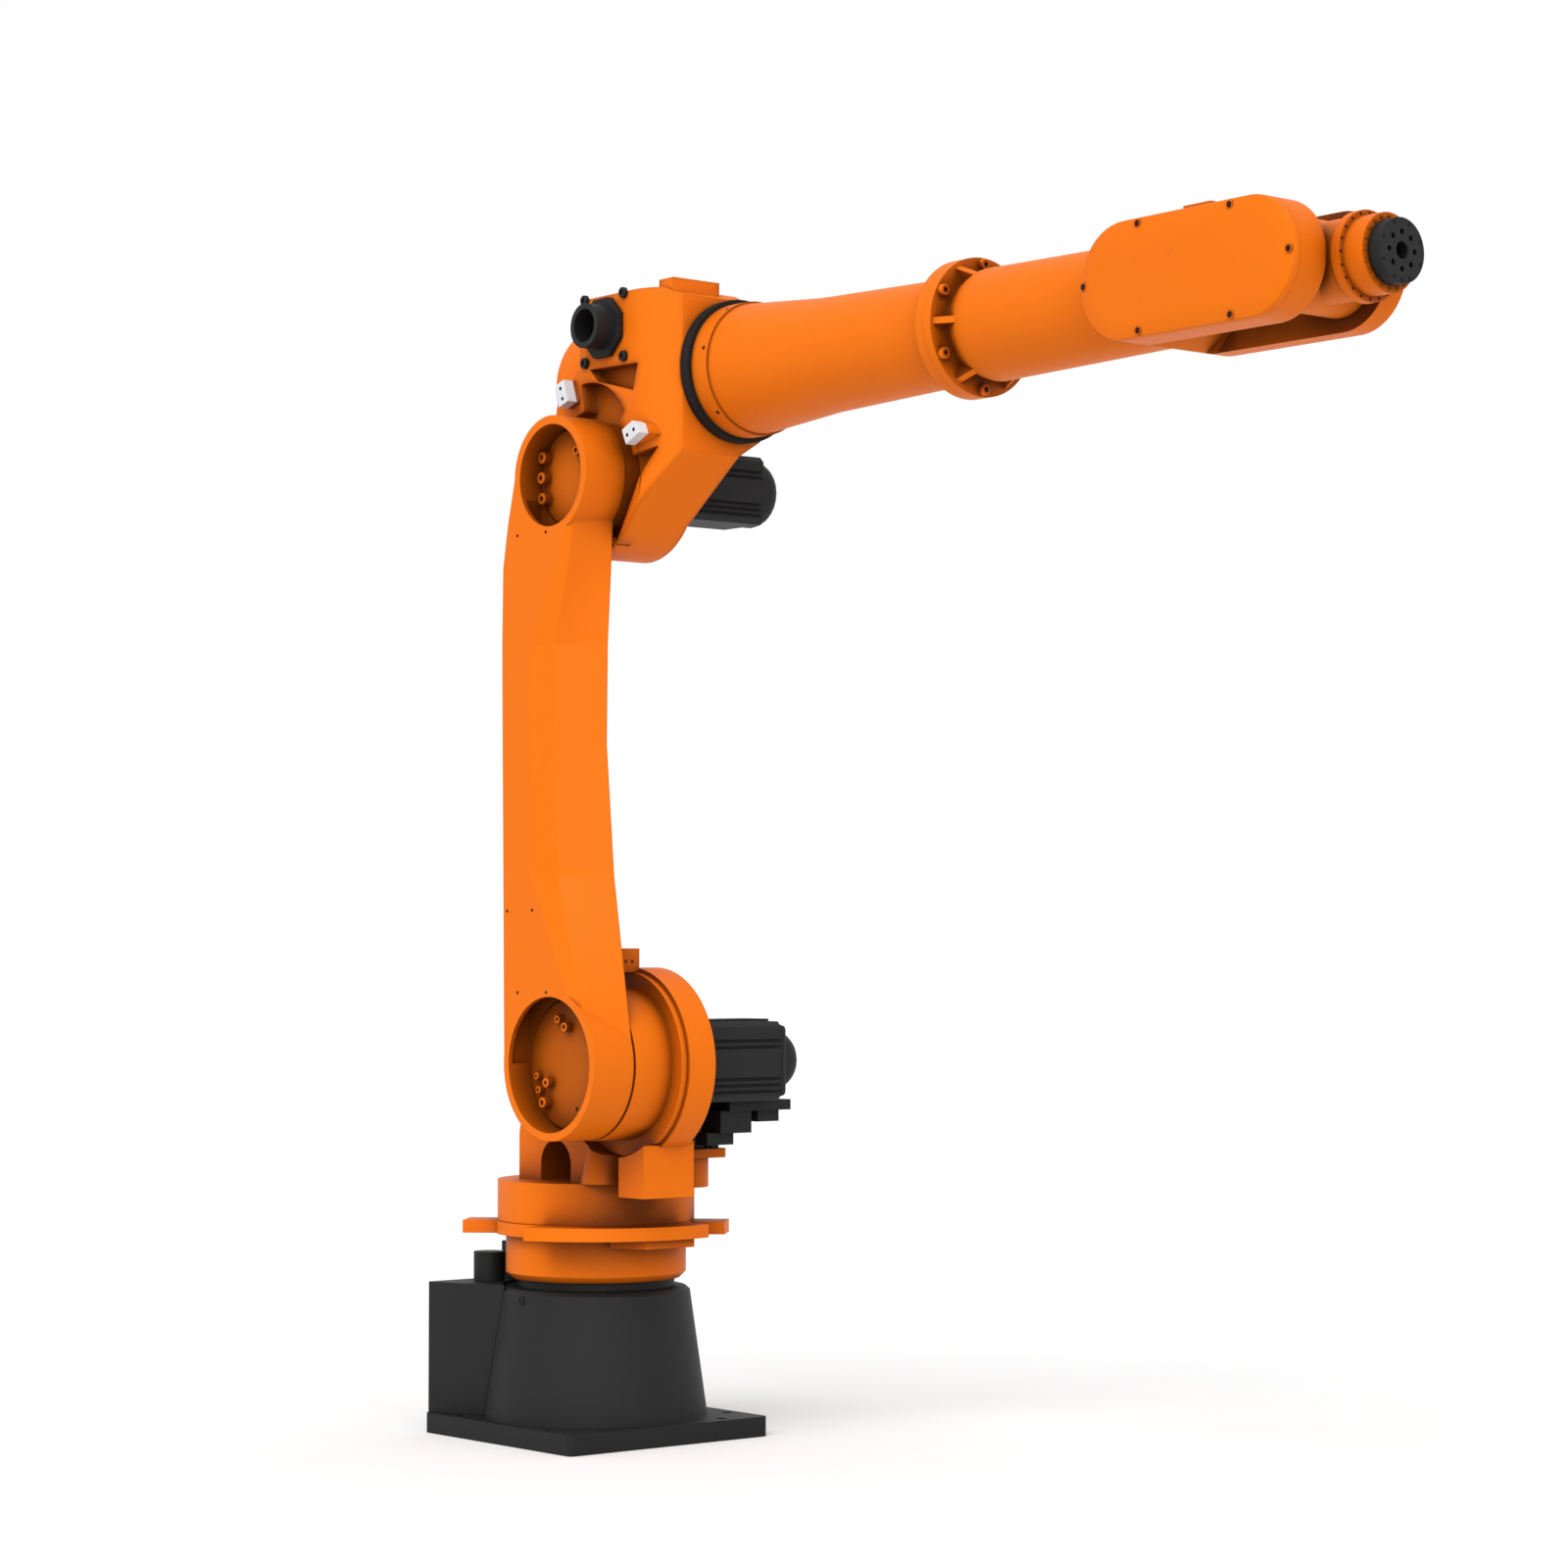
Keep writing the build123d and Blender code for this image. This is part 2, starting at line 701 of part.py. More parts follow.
# Elbow casting: a block and web between the lobe of the third axis and the barrel of the
# fourth, with a pad for the cable inlet
elbow_top_z = forearm_z + elbow_top_rise
inlet_x = shoulder_x + inlet_forward
inlet_z = forearm_z + inlet_rise
pad_rear_x = inlet_x - inlet_pad_width / 2
pad_bottom_z = inlet_z - inlet_pad_height / 2
barrel_bottom_z = forearm_z - elbow_barrel_radius
with BuildPart() as elbow_housing:
    with BuildSketch(side(elbow_near_y)):
        with BuildLine():
            Polyline(
                (shoulder_x - block_rear_reach, elbow_z + block_rear_rise),
                (shoulder_x - block_neck_reach, forearm_z - block_neck_drop),
                (pad_rear_x, pad_bottom_z),
                (pad_rear_x, elbow_top_z),
                (elbow_top_step_x, elbow_top_z),
                (elbow_top_step_x, elbow_top_z + elbow_top_step),
                (elbow_slope_x, elbow_top_z + elbow_top_step),
                (elbow_barrel_front_x, elbow_top_z - elbow_slope_drop),
                (elbow_barrel_front_x, barrel_bottom_z - throat_drop),
                round_point(shoulder_x, elbow_z, elbow_lobe_radius, -throat_angle),
                (shoulder_x, elbow_z),
                close=True,
            )
        make_face()
    extrude(amount=elbow_near_y - elbow_web_far_y)
    # Plan of the block, with its near front corner drawn in to the barrel
    with BuildSketch(Plane.XY.offset(elbow_z - elbow_lobe_radius)) as block_plan:
        with BuildLine():
            Polyline(
                (elbow_barrel_rear_x, elbow_near_y),
                (elbow_corner_x, elbow_near_y),
                (elbow_barrel_front_x, elbow_corner_y),
                (elbow_barrel_front_x, elbow_web_far_y),
                (elbow_barrel_rear_x, elbow_web_far_y),
                close=True,
            )
        make_face()
        corner = block_plan.vertices().group_by(Axis.Y)[0].sort_by(Axis.X)[-1]
        fillet(corner, elbow_corner_round)
    extrude(amount=2 * elbow_lobe_radius + forearm_rise, mode=Mode.INTERSECT)
    # Web that leans from the back of the lobe out under the barrel
    with BuildSketch(Plane.YZ.offset(elbow_barrel_rear_x)):
        with BuildLine():
            Polyline(
                (elbow_near_y, elbow_z - elbow_lobe_radius),
                (lobe_far_y, elbow_z - elbow_lobe_radius),
                (lobe_far_y, elbow_z - web_bend_drop),
                (lobe_far_y + web_lean, elbow_z + web_lean_rise),
                (web_barrel_y, barrel_bottom_z + web_barrel_rise),
                (elbow_web_far_y, forearm_z),
                (elbow_top_far_y, forearm_z + web_shoulder_rise),
                (elbow_top_far_y, elbow_top_z + elbow_top_step),
                (elbow_near_y, elbow_top_z + elbow_top_step),
                close=True,
            )
        make_face()
    extrude(amount=elbow_barrel_front_x - elbow_barrel_rear_x, mode=Mode.INTERSECT)
    # Lobe round the third axis and barrel of the fourth
    with BuildSketch(side(elbow_near_y)):
        with Locations((shoulder_x, elbow_z)):
            Circle(elbow_lobe_radius)
    extrude(amount=elbow_near_y - lobe_far_y)
    with BuildSketch(Plane.YZ.offset(elbow_barrel_rear_x)):
        with Locations((0, forearm_z)):
            Circle(elbow_barrel_radius)
    extrude(amount=elbow_barrel_front_x - elbow_barrel_rear_x)
    chamfer(elbow_housing.faces().sort_by(Axis.X)[0].edges(), elbow_barrel_edge)
    # Machined pad on top, by the front of the barrel
    with BuildSketch(side(top_pad_near_y)):
        with BuildLine():
            Polyline(
                (top_pad_rear_x, forearm_z),
                (top_pad_front_x, forearm_z),
                (top_pad_front_x, forearm_z + top_pad_rise),
                (top_pad_rear_x, forearm_z + top_pad_rise),
                close=True,
            )
        make_face()
    extrude(amount=top_pad_near_y - top_pad_far_y)
    # Pockets in the near face: a crescent over the reducer, the round recess and a wedge
    with BuildSketch(side(elbow_near_y)):
        with Locations((shoulder_x - crescent_rear_shift, elbow_z + crescent_rise)):
            Circle(crescent_radius)
        with BuildLine():
            Polyline(
                (shoulder_x, elbow_z),
                round_point(shoulder_x, elbow_z, 3 * crescent_radius, crescent_angles[0]),
                round_point(shoulder_x, elbow_z, 3 * crescent_radius, crescent_angles[1]),
                close=True,
            )
        make_face(mode=Mode.INTERSECT)
        with Locations((shoulder_x, elbow_z)):
            Circle(elbow_recess_radius)
        with BuildLine():
            Polyline(
                (shoulder_x, elbow_z),
                round_point(shoulder_x, elbow_z, wedge_reaches[0], wedge_angles[0]),
                round_point(shoulder_x, elbow_z, wedge_reaches[1], wedge_angles[1]),
                close=True,
            )
        make_face()
    extrude(amount=-elbow_recess_depth, mode=Mode.SUBTRACT)
    # Undercut below the inlet's pad
    undercut_rear_x = pad_rear_x + undercut_rear_inset
    undercut_front_x = undercut_rear_x + undercut_length
    with BuildSketch(side(elbow_near_y)):
        with BuildLine():
            Polyline(
                (undercut_rear_x, pad_bottom_z),
                (undercut_front_x, pad_bottom_z - undercut_slope),
                (undercut_front_x - undercut_draft, pad_bottom_z - undercut_front_drop),
                (undercut_rear_x + undercut_rear_drop, pad_bottom_z - undercut_rear_drop),
                close=True,
            )
        make_face()
    extrude(amount=-undercut_depth, mode=Mode.SUBTRACT)
    # Raised seats of the travel stops
    with BuildSketch(side(elbow_near_y + elbow_recess_depth)):
        stop_section(front_stop_angle)
        stop_section(rear_stop_angle)
    extrude(amount=elbow_near_y + elbow_recess_depth - stop_seat_y)
    # Room for the elbow motor behind the lobe
    with BuildSketch(side(lobe_far_y)):
        with Locations((shoulder_x, elbow_z)):
            Rectangle(j3_motor_width + 2 * motor_seat_gap, j3_motor_width + 2 * motor_seat_gap)
    extrude(amount=lobe_far_y - elbow_barrel_radius, mode=Mode.SUBTRACT)

elbow_housing.part.label = "elbow_housing"
export_step(elbow_housing.part, "parts/elbow_housing.step")

# Elbow reducer in the round recess, with its output face at the arm
with BuildPart() as j3_reducer:
    with BuildSketch(side(elbow_near_y + elbow_recess_depth)):
        with Locations((shoulder_x, elbow_z)):
            Circle(j3_reducer_radius)
    extrude(amount=elbow_near_y + elbow_recess_depth - arm_back_y - bearing_gap)

j3_reducer.part.label = "j3_reducer"
export_step(j3_reducer.part, "parts/j3_reducer.step")

# Elbow motor behind the lobe
with BuildPart() as j3_motor:
    with BuildSketch(side(lobe_far_y)):
        motor_profile(j3_motor_width, shoulder_x, elbow_z)
    extrude(amount=lobe_far_y - j3_motor_end_y)

j3_motor.part.label = "j3_motor"
export_step(j3_motor.part, "parts/j3_motor.step")

# Round end of the elbow motor, with a small block over the joint
with BuildPart() as j3_motor_cap:
    with BuildSketch(side(j3_motor_end_y)):
        with Locations((shoulder_x, elbow_z)):
            Circle(j3_motor_width / 2)
    extrude(amount=j3_motor_end_y - j3_motor_cap_end_y)
    chamfer(j3_motor_cap.faces().sort_by(Axis.Y)[-1].edges(), j3_cap_edge)
    with BuildSketch(side(j3_motor_end_y)):
        with Locations((shoulder_x, elbow_z + j3_motor_width / 2)):
            Rectangle(j3_sensor_width, 2 * j3_sensor_rise)
    extrude(amount=-j3_sensor_length)

j3_motor_cap.part.label = "j3_motor_cap"
export_step(j3_motor_cap.part, "parts/j3_motor_cap.step")

# Cable inlet: octagonal flange and open tube
with BuildPart() as cable_inlet:
    with BuildSketch(side(elbow_near_y)):
        with Locations((inlet_x, inlet_z)):
            RegularPolygon(inlet_flange_radius, 8, rotation=22.5)
    extrude(amount=inlet_flange_thickness)
    with BuildSketch(side(elbow_near_y)):
        with Locations((inlet_x, inlet_z)):
            Circle(inlet_tube_radius)
    extrude(amount=elbow_near_y - inlet_end_y)
    with BuildSketch(side(inlet_end_y)):
        with Locations((inlet_x, inlet_z)):
            Circle(inlet_bore_radius)
    extrude(amount=inlet_end_y - elbow_near_y, mode=Mode.SUBTRACT)

cable_inlet.part.label = "cable_inlet"
export_step(cable_inlet.part, "parts/cable_inlet.step")

# White travel stops on the elbow, on either side of the upper arm
for name, angle in (("front_stop", front_stop_angle), ("rear_stop", rear_stop_angle)):
    with BuildPart() as travel_stop:
        with BuildSketch(side(stop_seat_y)):
            stop_section(angle)
        extrude(amount=stop_seat_y - stop_near_y)
    travel_stop.part.label = name
    export_step(travel_stop.part, f"parts/{name}.step")

# Black seal ring at the front of the barrel
with BuildPart() as seal_ring:
    with BuildSketch(Plane.YZ.offset(elbow_barrel_front_x)):
        with Locations((0, forearm_z)):
            Circle(seal_radius)
    extrude(amount=seal_thickness)

seal_ring.part.label = "seal_ring"
export_step(seal_ring.part, "parts/seal_ring.step")

forearm_axis = Axis((0, 0, forearm_z), (1, 0, 0))
root_flange_end_x = elbow_barrel_front_x + seal_thickness + root_flange_length
joint_face_x = mid_flange_x + mid_flange_thickness

# Rear forearm tube, from the root flange to the bolted joint
with BuildPart() as rear_forearm:
    with BuildSketch(Plane.XZ):
        with BuildLine():
            Polyline(
                (forearm_start_x, forearm_z),
                (forearm_start_x, forearm_z + root_flange_radius),
                (root_flange_end_x, forearm_z + root_flange_radius),
                (root_flange_end_x, forearm_z + rear_tube_root_radius),
                (rear_tube_waist_x, forearm_z + rear_tube_waist_radius),
                (mid_flange_x, forearm_z + rear_tube_end_radius),
                (mid_flange_x, forearm_z + mid_flange_radius),
                (joint_face_x, forearm_z + mid_flange_radius),
                (joint_face_x, forearm_z),
                close=True,
            )
        make_face()
    revolve(axis=forearm_axis)

rear_forearm.part.label = "rear_forearm"
export_step(rear_forearm.part, "parts/rear_forearm.step")

# Front forearm: flange, necked bolt pockets between gussets, tube and the two prongs of the fork
tube_foot_x = joint_face_x + mid_flange_thickness
with BuildPart() as front_forearm:
    with BuildSketch(Plane.XZ):
        with BuildLine():
            Polyline(
                (joint_face_x, forearm_z),
                (joint_face_x, forearm_z + mid_flange_radius),
                (tube_foot_x, forearm_z + mid_flange_radius),
                (tube_foot_x, forearm_z + bolt_neck_radius),
                (tube_foot_x + bolt_neck_length, forearm_z + front_tube_start_radius),
                (fork_slot_x, forearm_z + front_tube_end_radius),
                (fork_slot_x, forearm_z),
                close=True,
            )
        make_face()
    revolve(axis=forearm_axis)
    for index in range(gusset_count):
        turn = radians(360 / gusset_count * index)
        with BuildSketch(Plane((0, 0, forearm_z), (1, 0, 0), (0, -cos(turn), -sin(turn)))):
            with BuildLine():
                Polyline(
                    (joint_face_x, bolt_neck_radius / 2),
                    (joint_face_x, mid_flange_radius - gusset_drop),
                    (tube_foot_x, mid_flange_radius - gusset_drop),
                    (tube_foot_x + gusset_length, front_tube_end_radius),
                    (tube_foot_x + gusset_length, bolt_neck_radius / 2),
                    close=True,
                )
            make_face()
        extrude(amount=gusset_thickness / 2, both=True)
    with BuildSketch(side(near_prong_y)):
        with Locations(((fork_rear_x + wrist_x) / 2, forearm_z)):
            SlotCenterToCenter(wrist_x - fork_rear_x, 2 * prong_radius)
    extrude(amount=near_prong_y - far_prong_y)
    # Slot between the prongs, with its floor sloping back underneath
    with BuildSketch(side(-fork_inner_y)):
        with BuildLine():
            Polyline(
                (fork_slot_x, forearm_z + prong_radius + side_gap),
                (fork_slot_x, forearm_z - prong_radius / 2),
                (fork_slot_x - slot_floor_run, forearm_z - prong_radius - side_gap),
                (wrist_x + 2 * prong_radius, forearm_z - prong_radius - side_gap),
                (wrist_x + 2 * prong_radius, forearm_z + prong_radius + side_gap),
                close=True,
            )
        make_face()
    extrude(amount=-2 * fork_inner_y, mode=Mode.SUBTRACT)

front_forearm.part.label = "front_forearm"
export_step(front_forearm.part, "parts/front_forearm.step")

# Cover over the wrist drive on the near prong
with BuildPart() as near_wrist_cover:
    with BuildSketch(side(near_prong_y)):
        with Locations(((fork_rear_x + wrist_x) / 2, forearm_z)):
            SlotCenterToCenter(wrist_x - fork_rear_x, 2 * prong_radius)
    extrude(amount=near_prong_y - near_cover_y)
    chamfer(near_wrist_cover.faces().sort_by(Axis.Y)[0].edges(), near_cover_edge)

near_wrist_cover.part.label = "near_wrist_cover"
export_step(near_wrist_cover.part, "parts/near_wrist_cover.step")

# Wrist housing between the prongs
wrist_half_width = fork_inner_y - wrist_clearance
with BuildPart() as wrist_housing:
    with BuildSketch(side(-wrist_half_width)):
        with Locations((wrist_x, forearm_z)):
            Circle(wrist_radius)
    extrude(amount=-2 * wrist_half_width)
    with BuildSketch(Plane.YZ.offset(wrist_x)):
        with Locations((0, forearm_z)):
            Circle(wrist_neck_radius)
    extrude(amount=wrist_flange_x - wrist_x)
    with BuildSketch(side(-fork_inner_y + bearing_gap)):
        with Locations((wrist_x, forearm_z)):
            Circle(wrist_pin_radius)
    extrude(amount=-2 * (fork_inner_y - bearing_gap))

wrist_housing.part.label = "wrist_housing"
export_step(wrist_housing.part, "parts/wrist_housing.step")

# Stepped case of the sixth axis
flange_back_x = flange_front_x - tool_flange_thickness
wrist_case_end_x = flange_back_x - tool_neck_length
with BuildPart() as flange_case:
    with BuildSketch(Plane.YZ.offset(wrist_flange_x)):
        with Locations((0, forearm_z)):
            Circle(wrist_flange_radius)
    extrude(amount=wrist_flange_thickness)
    with BuildSketch(Plane.YZ.offset(wrist_flange_x + wrist_flange_thickness)):
        with Locations((0, forearm_z)):
            Circle(wrist_case_radius)
    extrude(amount=wrist_case_end_x - wrist_flange_x - wrist_flange_thickness)

flange_case.part.label = "flange_case"
export_step(flange_case.part, "parts/flange_case.step")

# Tool flange with its bolt circle and centre bore
with BuildPart() as tool_flange:
    with BuildSketch(Plane.YZ.offset(flange_back_x)):
        with Locations((0, forearm_z)):
            Circle(tool_flange_radius)
            with PolarLocations(tool_bolt_radius, tool_bolt_count):
                Circle(tool_bolt_hole / 2, mode=Mode.SUBTRACT)
            Circle(tool_bore_radius, mode=Mode.SUBTRACT)
    extrude(amount=tool_flange_thickness)
    with BuildSketch(Plane.YZ.offset(wrist_case_end_x + bearing_gap)):
        with Locations((0, forearm_z)):
            Circle(tool_neck_radius)
    extrude(amount=flange_back_x - wrist_case_end_x - bearing_gap)

tool_flange.part.label = "tool_flange"
export_step(tool_flange.part, "parts/tool_flange.step")
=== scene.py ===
import json
import math

import bmesh
import bpy
from mathutils import Matrix, Vector


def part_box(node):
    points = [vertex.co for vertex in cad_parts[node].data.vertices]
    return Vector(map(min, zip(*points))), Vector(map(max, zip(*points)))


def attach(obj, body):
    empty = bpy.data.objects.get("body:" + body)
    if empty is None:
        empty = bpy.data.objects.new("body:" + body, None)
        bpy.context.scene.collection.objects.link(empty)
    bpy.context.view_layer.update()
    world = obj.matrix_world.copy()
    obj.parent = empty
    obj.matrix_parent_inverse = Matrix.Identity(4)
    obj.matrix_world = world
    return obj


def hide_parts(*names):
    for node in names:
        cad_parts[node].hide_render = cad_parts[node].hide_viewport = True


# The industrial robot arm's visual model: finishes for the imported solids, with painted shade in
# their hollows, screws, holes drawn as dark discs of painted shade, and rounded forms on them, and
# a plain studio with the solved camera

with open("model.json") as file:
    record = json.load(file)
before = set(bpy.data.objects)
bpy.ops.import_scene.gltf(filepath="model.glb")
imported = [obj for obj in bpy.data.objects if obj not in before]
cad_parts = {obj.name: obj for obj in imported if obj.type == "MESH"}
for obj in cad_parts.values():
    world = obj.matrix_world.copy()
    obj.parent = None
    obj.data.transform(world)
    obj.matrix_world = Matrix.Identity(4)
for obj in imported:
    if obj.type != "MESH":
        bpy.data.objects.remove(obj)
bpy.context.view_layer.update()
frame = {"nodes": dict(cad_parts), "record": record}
nodes = frame["nodes"]

# Places below are in millimetres, measured from the joints' axes and the nodes' faces
mm = 0.001
merge_distance = mm / 1000
joints = {
    joint["name"]: Vector(joint["pos_m"]) / mm
    for joint in frame["record"]["behaviour"]["joints"]
}
shoulder = joints["j2_shoulder"]
elbow = joints["j3_elbow"]
wrist = joints["j5_wrist_pitch"]


def low(node):
    """A node's lowest corner in millimetres."""
    return Vector(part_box(node)[0]) / mm


def high(node):
    """A node's highest corner in millimetres."""
    return Vector(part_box(node)[1]) / mm


# Camera solved from the photograph, in metres and degrees
camera_place = Vector((5.0633, -3.8144, 0.8035))
camera_azimuth = 50.19
camera_pitch = 2.47
camera_lens = 87.3
camera_sensor = 36
camera_reach = 100

# Light: a white surround, a soft sun from the upper left and a wide fill from the right. The
# floor gives back a little less than it shows, and glows a little for what sees it directly.
surround_light = 0.58
key_direction = Vector((0.28, -0.66, 0.70))
key_strength = 0.42 * math.pi
key_softness = math.radians(40)
fill_direction = Vector((0.84, -0.50, 0.12))
fill_strength = 0.34 * math.pi
fill_softness = math.radians(60)
floor_bounce = 0.75
floor_seen = 1.0
floor_lift = 0.12
floor_half_width = 40

# Turned forms, screws and holes
turning_steps = 24
sharp_angle = math.radians(35)
head_edge = 0.12
socket_share = 0.5
socket_depth_share = 0.45
socket_fill = 0.98
hole_rise = 0.3
hole_taper = 0.92
rim_top_share = 0.7
rim_floor_share = 0.3
bore_taper = 0.9
bore_fill = 0.95


def turned(rows):
    """Points and faces of a closed turned form. A row is a radius, a height and, for a
    socket or a hexagon, its number of corners."""
    points, faces = [], []
    for radius, height, *corners in rows:
        for step in range(turning_steps):
            turn = 2 * math.pi * step / turning_steps
            reach = radius
            if corners:
                sector = 2 * math.pi / corners[0]
                reach = radius * math.cos(sector / 2) / math.cos(turn % sector - sector / 2)
            points.append((reach * math.cos(turn), reach * math.sin(turn), height))
    for row in range(len(rows) - 1):
        start = row * turning_steps
        for step in range(turning_steps):
            after = (step + 1) % turning_steps
            above = start + turning_steps
            faces.append((start + step, start + after, above + after, above + step))
    faces.append(tuple(reversed(range(turning_steps))))
    faces.append(tuple(range((len(rows) - 1) * turning_steps, len(rows) * turning_steps)))
    return points, faces


def facing(place, direction):
    """The matrix that stands a form on a place, with its height along a direction."""
    stand = Vector(direction).to_track_quat("Z", "Y").to_matrix().to_4x4()
    return Matrix.Translation(place) @ stand


class Piece:
    """Forms gathered into one mesh, which rides on one body in one finish."""

    def __init__(self, name, body, material, slot):
        self.name, self.body, self.material, self.slot = name, body, material, slot
        self.points, self.faces = [], []

    def add(self, form, placing=Matrix()):
        start = len(self.points)
        self.points += [mm * (placing @ Vector(point)) for point in form[0]]
        self.faces += [[start + index for index in face] for face in form[1]]

    def finish(self, replaces=()):
        mesh = bpy.data.meshes.new(self.name)
        mesh.from_pydata(self.points, [], self.faces)
        mesh.materials.append(self.material)
        mesh.shade_smooth()
        mesh.set_sharp_from_angle(angle=sharp_angle)
        piece = bpy.data.objects.new(self.name, mesh)
        bpy.context.scene.collection.objects.link(piece)
        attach(piece, self.body)
        if replaces:
            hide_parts(*replaces)
        return piece


# Surfaces: the scale of blotches, scuffs and grit, where a scuff starts and is full, how much
# of its colour a scuffed spot and a spot of painted shade keep, and how far gloss varies
blotch_scale = 7.0
scuff_scale = 60.0
scuff_start = 0.62
scuff_full = 0.75
scuffed_share = 0.86
scuffed_lift = 0.004
painted_shade_share = 0.12
gloss_spread = 0.06
grit_scale = 250.0
grit_height = 0.0006

# How far hollows are looked for, in metres, and the openness where the painted shade is full and
# gone
hollow_reach = 0.14
usual_hollow = (0.4, 0.92)
openness_samples = 8
edge_samples = 6


def add_material(
    name,
    colour,
    roughness,
    specular=0.5,
    grain=0.0,
    mottle=0.0,
    edge=0.0025,
    hollow_shade=0.0,
    hollow=usual_hollow,
):
    """A painted, cast or plastic surface: softened edges, a fine grain, uneven colour and
    gloss, faint scuffs, and painted shade that darkens its hollows and the places near other
    parts."""
    material = bpy.data.materials.new(name)
    material.use_nodes = True
    tree = material.node_tree
    shader = tree.nodes["Principled BSDF"]
    shader.inputs["Specular IOR Level"].default_value = specular
    place = tree.nodes.new("ShaderNodeTexCoord")
    blotch = tree.nodes.new("ShaderNodeTexNoise")
    blotch.inputs["Scale"].default_value = blotch_scale
    blotch.inputs["Detail"].default_value = 4.0
    tree.links.new(place.outputs["Object"], blotch.inputs["Vector"])
    scuff = tree.nodes.new("ShaderNodeTexNoise")
    scuff.inputs["Scale"].default_value = scuff_scale
    scuff.inputs["Detail"].default_value = 8.0
    scuff.inputs["Roughness"].default_value = 0.7
    tree.links.new(place.outputs["Object"], scuff.inputs["Vector"])
    scuffed = tree.nodes.new("ShaderNodeMapRange")
    scuffed.inputs["From Min"].default_value = scuff_start
    scuffed.inputs["From Max"].default_value = scuff_full
    tree.links.new(scuff.outputs["Fac"], scuffed.inputs["Value"])
    tint = tree.nodes.new("ShaderNodeMix")
    tint.data_type = "RGBA"
    darker = (channel * (1 - mottle) for channel in colour)
    lighter = (min(1, channel * (1 + mottle)) for channel in colour)
    tint.inputs["A"].default_value = (*darker, 1)
    tint.inputs["B"].default_value = (*lighter, 1)
    tree.links.new(blotch.outputs["Fac"], tint.inputs["Factor"])
    worn = tree.nodes.new("ShaderNodeMix")
    worn.data_type = "RGBA"
    scuffed_colour = (channel * scuffed_share + scuffed_lift for channel in colour)
    worn.inputs["B"].default_value = (*scuffed_colour, 1)
    tree.links.new(scuffed.outputs["Result"], worn.inputs["Factor"])
    tree.links.new(tint.outputs["Result"], worn.inputs["A"])
    # Painted shade: ambient occlusion darkens the colour towards a dark copy of it in hollows and
    # near other parts
    openness = tree.nodes.new("ShaderNodeAmbientOcclusion")
    openness.samples = openness_samples
    openness.inputs["Distance"].default_value = hollow_reach
    hollow_shading = tree.nodes.new("ShaderNodeMapRange")
    hollow_shading.inputs["From Min"].default_value = hollow[0]
    hollow_shading.inputs["From Max"].default_value = hollow[1]
    hollow_shading.inputs["To Min"].default_value = hollow_shade
    hollow_shading.inputs["To Max"].default_value = 0.0
    tree.links.new(openness.outputs["AO"], hollow_shading.inputs["Value"])
    painted_shade = tree.nodes.new("ShaderNodeMix")
    painted_shade.data_type = "RGBA"
    painted_shade.inputs["B"].default_value = (*(channel * painted_shade_share for channel in colour), 1)
    tree.links.new(hollow_shading.outputs["Result"], painted_shade.inputs["Factor"])
    tree.links.new(worn.outputs["Result"], painted_shade.inputs["A"])
    tree.links.new(painted_shade.outputs["Result"], shader.inputs["Base Color"])
    gloss = tree.nodes.new("ShaderNodeMapRange")
    gloss.inputs["To Min"].default_value = roughness - gloss_spread
    gloss.inputs["To Max"].default_value = roughness + gloss_spread
    tree.links.new(scuff.outputs["Fac"], gloss.inputs["Value"])
    tree.links.new(gloss.outputs["Result"], shader.inputs["Roughness"])
    soft_edge = tree.nodes.new("ShaderNodeBevel")
    soft_edge.samples = edge_samples
    soft_edge.inputs["Radius"].default_value = edge
    grit = tree.nodes.new("ShaderNodeTexNoise")
    grit.inputs["Scale"].default_value = grit_scale
    grit.inputs["Detail"].default_value = 2.0
    tree.links.new(place.outputs["Object"], grit.inputs["Vector"])
    bump = tree.nodes.new("ShaderNodeBump")
    bump.inputs["Strength"].default_value = grain
    bump.inputs["Distance"].default_value = grit_height
    tree.links.new(grit.outputs["Fac"], bump.inputs["Height"])
    tree.links.new(soft_edge.outputs["Normal"], bump.inputs["Normal"])
    tree.links.new(bump.outputs["Normal"], shader.inputs["Normal"])
    return material


orange = (0.92, 0.185, 0.003)
orange_paint = add_material(
    "orange_paint",
    orange,
    roughness=0.5,
    specular=0.12,
    grain=0.25,
    mottle=0.02,
    hollow_shade=0.9,
    hollow=(0.48, 0.94),
)
# The elbow casting's orange: wider softened edges, and less painted shade in its hollows than the
# other orange
cast_orange_less_shade = add_material(
    "cast_orange_less_shade",
    orange,
    roughness=0.52,
    specular=0.12,
    grain=0.35,
    mottle=0.025,
    edge=0.02,
    hollow_shade=0.85,
    hollow=(0.3, 0.82),
)
# A darker copy of the orange for the shoulder hub's disc: painted shade that darkens it even where
# nothing is near
hub_shaded_orange = add_material(
    "hub_shaded_orange",
    orange,
    roughness=0.52,
    specular=0.12,
    grain=0.35,
    mottle=0.025,
    hollow_shade=0.9,
    hollow=(0.6, 1.2),
)
# A copy of the orange with much stronger painted shade in its hollows, for the inside of the fork
fork_shaded_orange = add_material(
    "fork_shaded_orange",
    orange,
    roughness=0.5,
    specular=0.12,
    grain=0.25,
    mottle=0.02,
    hollow_shade=0.99,
    hollow=(0.62, 0.99),
)
black_paint = add_material(
    "black_paint",
    (0.016, 0.016, 0.016),
    roughness=0.6,
    specular=0.2,
    grain=0.4,
    mottle=0.08,
    hollow_shade=0.5,
)
white_stop = add_material("white_stop", (0.78, 0.83, 0.86), roughness=0.45, grain=0.1, mottle=0.02)
black_rubber = add_material(
    "black_rubber", (0.01, 0.01, 0.01), roughness=0.7, specular=0.2, grain=0.2, mottle=0.05
)
